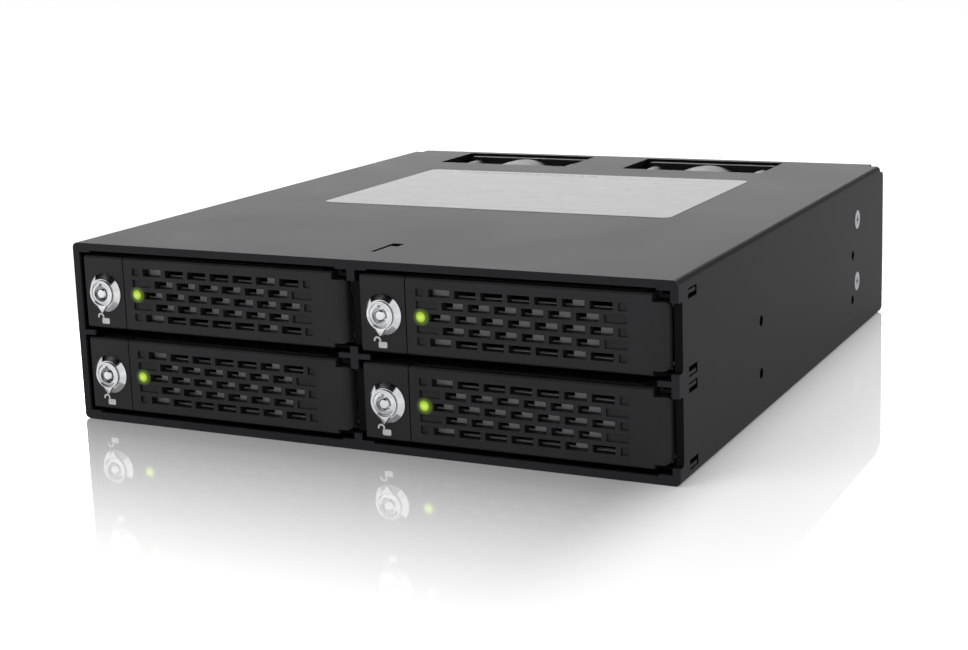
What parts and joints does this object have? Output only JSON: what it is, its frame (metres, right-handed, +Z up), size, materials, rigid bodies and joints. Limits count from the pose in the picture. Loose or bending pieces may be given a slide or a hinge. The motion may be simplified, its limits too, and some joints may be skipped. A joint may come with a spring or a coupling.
{
  "type": "hot swap drive cage",
  "caption": "Flat black metal cage for a half-height drive bay, with removable keyed trays for small drives behind slotted swing doors, and rear fans.",
  "frame": {"origin": "centre of the underside", "axes": "+X to the right seen from the front, +Y from the front to the rear, +Z up"},
  "size_m": [0.146, 0.1655, 0.0413],
  "materials": {
    "black_paint": "fine-textured satin black powder coat",
    "tray_plastic": "satin black moulded plastic with a fine spark grain",
    "zinc_steel": "bright zinc-plated sheet steel",
    "lock_chrome": "polished chrome plate",
    "nickel_screw": "nickel-plated steel",
    "dark_screw": "black-oxide steel",
    "steel_pin": "ground steel",
    "circuit_board": "solder-masked glass-epoxy laminate",
    "connector_plastic": "black glass-filled nylon",
    "fan_plastic": "black PBT",
    "led_lens": "clear yellow-green acrylic, lit",
    "clear_guide": "clear acrylic"
  },
  "bodies": {
    "cage": {"housing_shell": "black_paint", "centre_wall": "black_paint", "backplane_board": "circuit_board", "drive_sockets": "connector_plastic", "data_ports": "connector_plastic", "power_ports": "connector_plastic", "rear_bracket": "zinc_steel", "side_screws": "nickel_screw", "board_screws": "nickel_screw", "fan_screws": "dark_screw", "fan_frame_left": "fan_plastic", "fan_frame_right": "fan_plastic"},
    "tray_1": {"tray_plate_1": "black_paint", "tray_front_1": "tray_plastic", "tray_screws_1": "dark_screw", "hinge_pin_1": "steel_pin", "lock_collar_1": "lock_chrome", "light_guide_1": "clear_guide"},
    "door_1": {"door_1": "tray_plastic", "led_lens_1": "led_lens"},
    "lock_1": {"lock_cylinder_1": "lock_chrome", "lock_cam_1": "zinc_steel", "cam_screw_1": "dark_screw"},
    "tray_2": {"tray_plate_2": "black_paint", "tray_front_2": "tray_plastic", "tray_screws_2": "dark_screw", "hinge_pin_2": "steel_pin", "lock_collar_2": "lock_chrome", "light_guide_2": "clear_guide"},
    "door_2": {"door_2": "tray_plastic", "led_lens_2": "led_lens"},
    "lock_2": {"lock_cylinder_2": "lock_chrome", "lock_cam_2": "zinc_steel", "cam_screw_2": "dark_screw"},
    "tray_3": {"tray_plate_3": "black_paint", "tray_front_3": "tray_plastic", "tray_screws_3": "dark_screw", "hinge_pin_3": "steel_pin", "lock_collar_3": "lock_chrome", "light_guide_3": "clear_guide"},
    "door_3": {"door_3": "tray_plastic", "led_lens_3": "led_lens"},
    "lock_3": {"lock_cylinder_3": "lock_chrome", "lock_cam_3": "zinc_steel", "cam_screw_3": "dark_screw"},
    "tray_4": {"tray_plate_4": "black_paint", "tray_front_4": "tray_plastic", "tray_screws_4": "dark_screw", "hinge_pin_4": "steel_pin", "lock_collar_4": "lock_chrome", "light_guide_4": "clear_guide"},
    "door_4": {"door_4": "tray_plastic", "led_lens_4": "led_lens"},
    "lock_4": {"lock_cylinder_4": "lock_chrome", "lock_cam_4": "zinc_steel", "cam_screw_4": "dark_screw"},
    "fan_left": {"fan_rotor_left": "fan_plastic"},
    "fan_right": {"fan_rotor_right": "fan_plastic"}
  },
  "joints": [
    {"name": "tray_1_slide", "type": "slide", "parent": "cage", "child": "tray_1", "axis": [0, -1, 0], "range_m": [0, 0.125]},
    {"name": "door_1_hinge", "type": "hinge", "parent": "tray_1", "child": "door_1", "pos_m": [-0.0036, -0.0798, 0.03015], "axis": [0, 0, 1], "range_deg": [0, 75]},
    {"name": "lock_1_turn", "type": "hinge", "parent": "tray_1", "child": "lock_1", "pos_m": [-0.0647, -0.082, 0.03015], "axis": [0, 1, 0], "range_deg": [0, 90]},
    {"name": "tray_2_slide", "type": "slide", "parent": "cage", "child": "tray_2", "axis": [0, -1, 0], "range_m": [0, 0.125]},
    {"name": "door_2_hinge", "type": "hinge", "parent": "tray_2", "child": "door_2", "pos_m": [0.0686, -0.0798, 0.03015], "axis": [0, 0, 1], "range_deg": [0, 75]},
    {"name": "lock_2_turn", "type": "hinge", "parent": "tray_2", "child": "lock_2", "pos_m": [0.0075, -0.082, 0.03015], "axis": [0, 1, 0], "range_deg": [0, 90]},
    {"name": "tray_3_slide", "type": "slide", "parent": "cage", "child": "tray_3", "axis": [0, -1, 0], "range_m": [0, 0.125]},
    {"name": "door_3_hinge", "type": "hinge", "parent": "tray_3", "child": "door_3", "pos_m": [-0.0036, -0.0798, 0.01115], "axis": [0, 0, 1], "range_deg": [0, 75]},
    {"name": "lock_3_turn", "type": "hinge", "parent": "tray_3", "child": "lock_3", "pos_m": [-0.0647, -0.082, 0.01115], "axis": [0, 1, 0], "range_deg": [0, 90]},
    {"name": "tray_4_slide", "type": "slide", "parent": "cage", "child": "tray_4", "axis": [0, -1, 0], "range_m": [0, 0.125]},
    {"name": "door_4_hinge", "type": "hinge", "parent": "tray_4", "child": "door_4", "pos_m": [0.0686, -0.0798, 0.01115], "axis": [0, 0, 1], "range_deg": [0, 75]},
    {"name": "lock_4_turn", "type": "hinge", "parent": "tray_4", "child": "lock_4", "pos_m": [0.0075, -0.082, 0.01115], "axis": [0, 1, 0], "range_deg": [0, 90]},
    {"name": "fan_left_spin", "type": "hinge", "parent": "cage", "child": "fan_left", "pos_m": [-0.0326, 0.0685, 0.02065], "axis": [0, 1, 0], "continuous": true},
    {"name": "fan_right_spin", "type": "hinge", "parent": "cage", "child": "fan_right", "pos_m": [0.0249, 0.0685, 0.02065], "axis": [0, 1, 0], "continuous": true}
  ]
}
